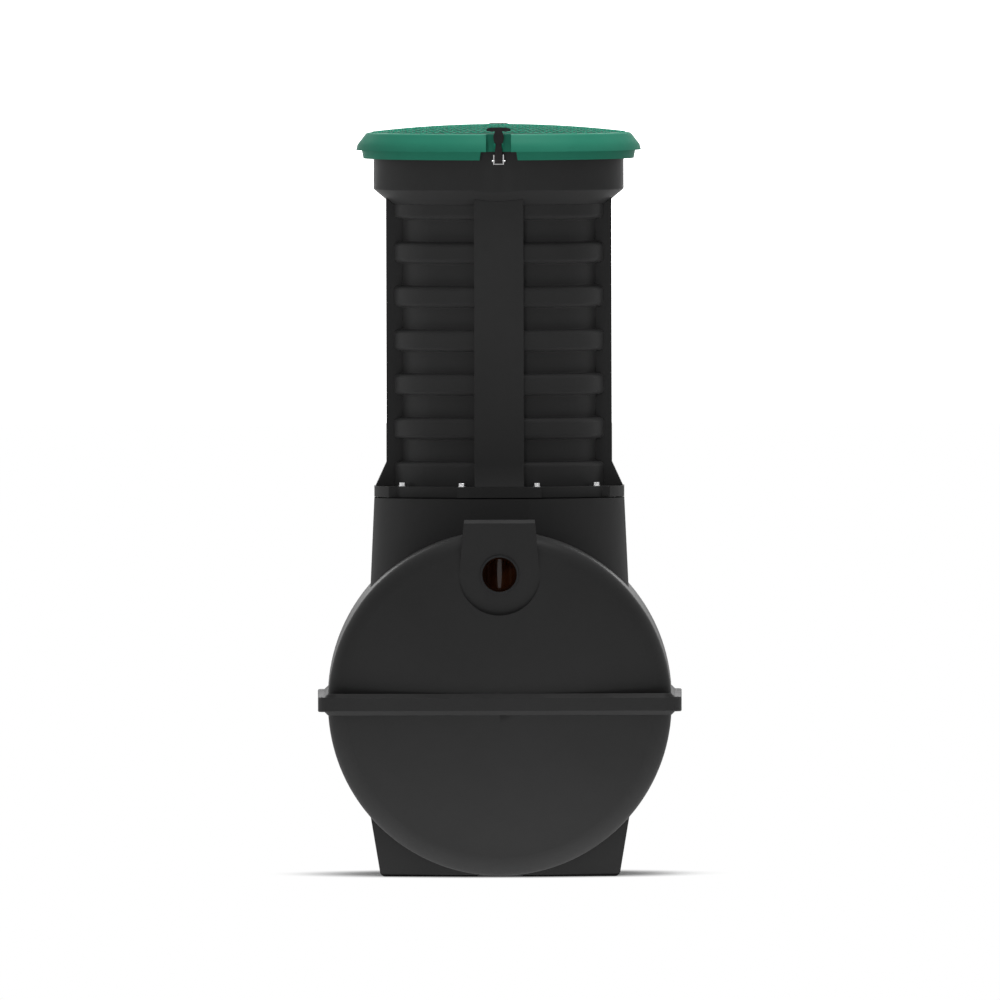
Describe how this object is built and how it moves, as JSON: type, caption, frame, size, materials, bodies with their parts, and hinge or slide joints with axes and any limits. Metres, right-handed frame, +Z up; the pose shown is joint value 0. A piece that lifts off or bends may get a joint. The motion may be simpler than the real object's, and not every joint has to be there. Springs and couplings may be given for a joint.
{
  "type": "septic tank",
  "caption": "Horizontal round septic tank of black moulded plastic with a bolted corrugated riser, pipe ports with seals and tees, and a green lift-off lid held by rubber latches.",
  "frame": {"origin": "on the ground under the middle of the tank", "axes": "+Z up, -Y towards the inlet end, +X to the right seen from the inlet end"},
  "size_m": [1.164, 1.6152, 2.3976],
  "materials": {
    "black_plastic": "satin moulded polyethylene",
    "green_plastic": "satin moulded polyethylene",
    "strap_rubber": "matt rubber",
    "seal_rubber": "matt rubber",
    "brown_pipe": "extruded sewer pipe",
    "steel": "bare stainless steel"
  },
  "bodies": {
    "tank": {"upper_barrel": "black_plastic", "lower_barrel": "black_plastic", "upper_front_end": "black_plastic", "upper_rear_end": "black_plastic", "lower_front_end": "black_plastic", "lower_rear_end": "black_plastic", "upper_rim": "black_plastic", "lower_rim": "black_plastic", "left_foot": "black_plastic", "right_foot": "black_plastic", "inlet_boss": "black_plastic", "outlet_boss": "black_plastic", "turret": "black_plastic", "front_turret_flange": "black_plastic", "rear_turret_flange": "black_plastic", "left_turret_flange": "black_plastic", "right_turret_flange": "black_plastic", "front_riser_flange": "black_plastic", "rear_riser_flange": "black_plastic", "left_riser_flange": "black_plastic", "right_riser_flange": "black_plastic", "riser_panel_1": "black_plastic", "riser_panel_2": "black_plastic", "riser_panel_3": "black_plastic", "riser_panel_4": "black_plastic", "riser_panel_5": "black_plastic", "riser_panel_6": "black_plastic", "riser_panel_7": "black_plastic", "riser_panel_8": "black_plastic", "front_rib": "black_plastic", "rear_rib": "black_plastic", "left_rib": "black_plastic", "right_rib": "black_plastic", "riser_collar": "black_plastic", "inlet_seal": "seal_rubber", "outlet_seal": "seal_rubber", "neck_gasket": "seal_rubber", "lid_gasket": "seal_rubber", "inlet_tee_socket": "brown_pipe", "outlet_tee_socket": "brown_pipe", "inlet_dip_pipe": "brown_pipe", "outlet_dip_pipe": "brown_pipe", "flange_bolts": "steel", "front_latch_bracket": "steel", "rear_latch_bracket": "steel", "front_latch_pin": "steel", "rear_latch_pin": "steel"},
    "lid": {"lid_rim": "green_plastic", "lid_dome": "green_plastic", "front_keeper": "green_plastic", "rear_keeper": "green_plastic"},
    "front_latch": {"front_latch_strap": "strap_rubber"},
    "rear_latch": {"rear_latch_strap": "strap_rubber"}
  },
  "joints": [
    {"name": "lid_lift", "type": "slide", "parent": "tank", "child": "lid", "axis": [0, 0, 1], "range_m": [0, 0.4], "deforming": ["front_latch_strap", "rear_latch_strap"]},
    {"name": "front_latch_swing", "type": "hinge", "parent": "tank", "child": "front_latch", "pos_m": [0, -0.4185, 2.287], "axis": [1, 0, 0], "range_deg": [0, 150]},
    {"name": "rear_latch_swing", "type": "hinge", "parent": "tank", "child": "rear_latch", "pos_m": [0, 0.4185, 2.287], "axis": [-1, 0, 0], "range_deg": [0, 150]}
  ]
}
